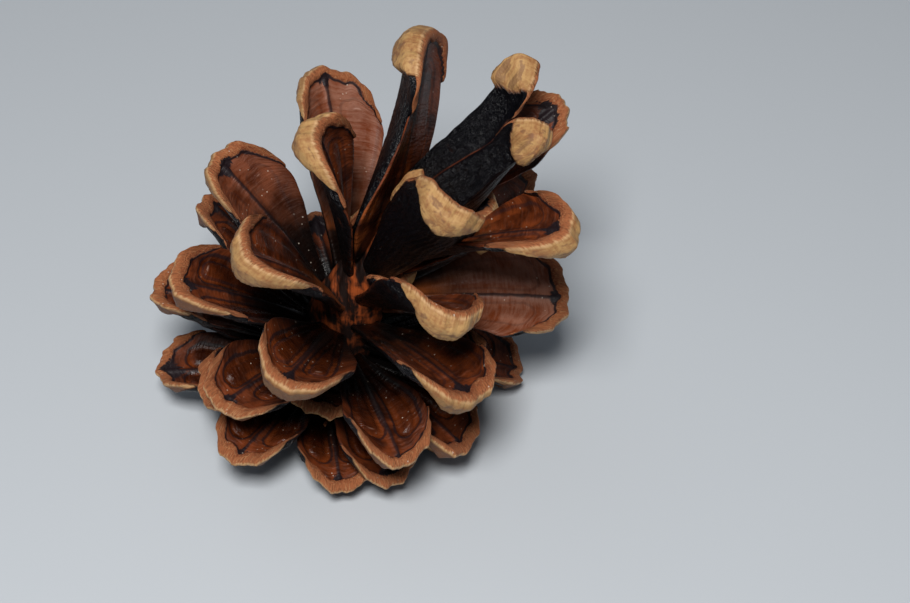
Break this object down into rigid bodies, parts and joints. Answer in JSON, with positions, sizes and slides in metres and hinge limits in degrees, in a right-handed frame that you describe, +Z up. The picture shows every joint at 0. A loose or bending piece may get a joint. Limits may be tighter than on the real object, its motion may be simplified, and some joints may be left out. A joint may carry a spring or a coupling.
{
  "type": "pine cone",
  "caption": "Open, dry pine cone with spread woody scales on a spiral, standing on its base with its tip curving over to one side.",
  "frame": {"origin": "middle of the flat stalk scar, on the surface that the cone stands on", "axes": "+Z up from that surface; the tip leans over towards +X, and -Y faces the picture's camera"},
  "size_m": [0.0496, 0.0412, 0.05],
  "materials": {
    "cone_wood": "matt orange-brown scale rims with a pale tan edge, reddish-brown inner faces, near-black backs"
  },
  "bodies": {
    "root": {"cone": "cone_wood"}
  },
  "joints": []
}
